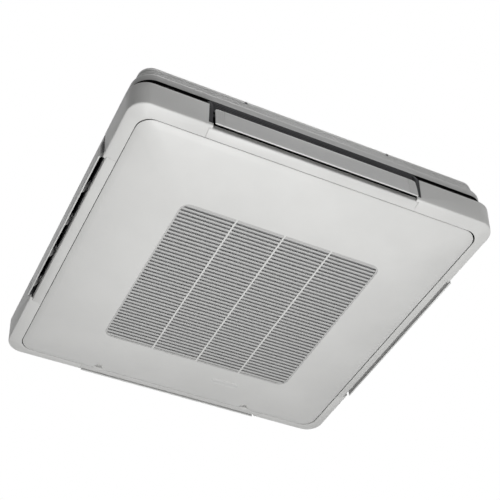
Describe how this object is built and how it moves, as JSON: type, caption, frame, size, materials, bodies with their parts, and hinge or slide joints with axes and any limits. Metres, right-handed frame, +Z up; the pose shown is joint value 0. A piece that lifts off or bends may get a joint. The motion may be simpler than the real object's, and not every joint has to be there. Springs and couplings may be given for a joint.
{
  "type": "ceiling-suspended four-way air conditioner",
  "caption": "Square air conditioner hung under a ceiling, with side outlets and flaps, a domed louvred suction panel below, turbo fan, ring coil and pump.",
  "frame": {"origin": "middle of the four suspension slots, on the top face of the hanger brackets", "axes": "+Z up to the ceiling; -Y the front outlet; +X the right outlet"},
  "size_m": [0.9088, 0.9088, 0.221],
  "materials": {
    "casing_paint": "satin grey painted steel",
    "white_plastic": "off-white moulded plastic, satin",
    "flap_plastic": "grey-white moulded plastic, satin",
    "charcoal_plastic": "charcoal moulded plastic, fine grain",
    "black_plastic": "black moulded plastic, matt",
    "foam": "white expanded foam",
    "fin_aluminium": "bare rolled aluminium",
    "copper": "drawn copper tube",
    "nut_brass": "machined brass",
    "zinc_steel": "zinc-plated pressed steel",
    "dark_steel": "blackened screws",
    "fan_plastic": "white moulded fan",
    "pump_plastic": "ivory moulded plastic",
    "hose_plastic": "grey drain plastic",
    "rubber": "black rubber",
    "board_green": "green circuit board",
    "filter_net": "dark woven filter net",
    "filter_frame": "dark filter frame",
    "badge_plate": "blank silver-white plate"
  },
  "bodies": {
    "housing": {"top_plate": "casing_paint", "top_casing": "casing_paint", "hanger_brackets": "zinc_steel", "foam_lining": "foam", "coil_fins": "fin_aluminium", "coil_ends": "zinc_steel", "coil_tubes": "copper", "gas_pipe": "copper", "liquid_pipe": "copper", "flare_nuts": "nut_brass", "drain_pan": "foam", "drain_pump": "pump_plastic", "drain_socket": "hose_plastic", "float_guide": "pump_plastic", "bell_mouth": "black_plastic", "motor_bracket": "zinc_steel", "motor_grommets": "rubber", "fan_motor": "dark_steel", "control_box": "zinc_steel", "control_box_cover": "zinc_steel", "circuit_board": "board_green", "terminal_block": "pump_plastic", "cable_bush": "rubber", "base_frame": "black_plastic", "screws": "dark_steel", "flap_motors": "pump_plastic", "corner_cover_back_left": "white_plastic", "corner_cover_front_left": "white_plastic", "corner_cover_front_right": "white_plastic", "corner_cover_back_right": "white_plastic", "lip_back": "white_plastic", "outlet_frame_back": "charcoal_plastic", "lip_left": "white_plastic", "outlet_frame_left": "charcoal_plastic", "lip_front": "white_plastic", "outlet_frame_front": "charcoal_plastic", "lip_right": "white_plastic", "outlet_frame_right": "charcoal_plastic"},
    "fan_wheel": {"turbo_fan": "fan_plastic", "motor_shaft": "zinc_steel", "fan_nut": "zinc_steel"},
    "float_body": {"float": "pump_plastic"},
    "back_flap": {"flap_back": "flap_plastic", "flap_rod_back": "zinc_steel"},
    "left_flap": {"flap_left": "flap_plastic", "flap_rod_left": "zinc_steel"},
    "front_flap": {"flap_front": "flap_plastic", "flap_rod_front": "zinc_steel"},
    "right_flap": {"flap_right": "flap_plastic", "flap_rod_right": "zinc_steel"},
    "panel": {"suction_panel": "white_plastic", "grille_slats": "white_plastic", "badge_plate": "badge_plate", "panel_hinges": "white_plastic", "filter_frame": "filter_frame", "filter_net": "filter_net"},
    "left_latch": {"latch_left": "white_plastic"},
    "right_latch": {"latch_right": "white_plastic"}
  },
  "joints": [
    {"name": "fan_spin", "type": "hinge", "parent": "housing", "child": "fan_wheel", "pos_m": [0, 0, -0.06], "axis": [0, 0, 1], "continuous": true},
    {"name": "float_rise", "type": "slide", "parent": "housing", "child": "float_body", "axis": [0, 0, 1], "range_m": [0, 0.012]},
    {"name": "back_flap_tilt", "type": "hinge", "parent": "housing", "child": "back_flap", "pos_m": [0, 0.4285, -0.099], "axis": [1, 0, 0], "range_deg": [-10, 47]},
    {"name": "left_flap_tilt", "type": "hinge", "parent": "housing", "child": "left_flap", "pos_m": [-0.4285, 0, -0.099], "axis": [0, 1, 0], "range_deg": [-10, 47]},
    {"name": "front_flap_tilt", "type": "hinge", "parent": "housing", "child": "front_flap", "pos_m": [0, -0.4285, -0.099], "axis": [-1, 0, 0], "range_deg": [-10, 47]},
    {"name": "right_flap_tilt", "type": "hinge", "parent": "housing", "child": "right_flap", "pos_m": [0.4285, 0, -0.099], "axis": [0, -1, 0], "range_deg": [-10, 47]},
    {"name": "panel_swing", "type": "hinge", "parent": "housing", "child": "panel", "pos_m": [0, -0.398, -0.161], "axis": [-1, 0, 0], "range_deg": [0, 75]},
    {"name": "left_latch_slide", "type": "slide", "parent": "panel", "child": "left_latch", "axis": [0, -1, 0], "range_m": [0, 0.008]},
    {"name": "right_latch_slide", "type": "slide", "parent": "panel", "child": "right_latch", "axis": [0, -1, 0], "range_m": [0, 0.008]}
  ]
}
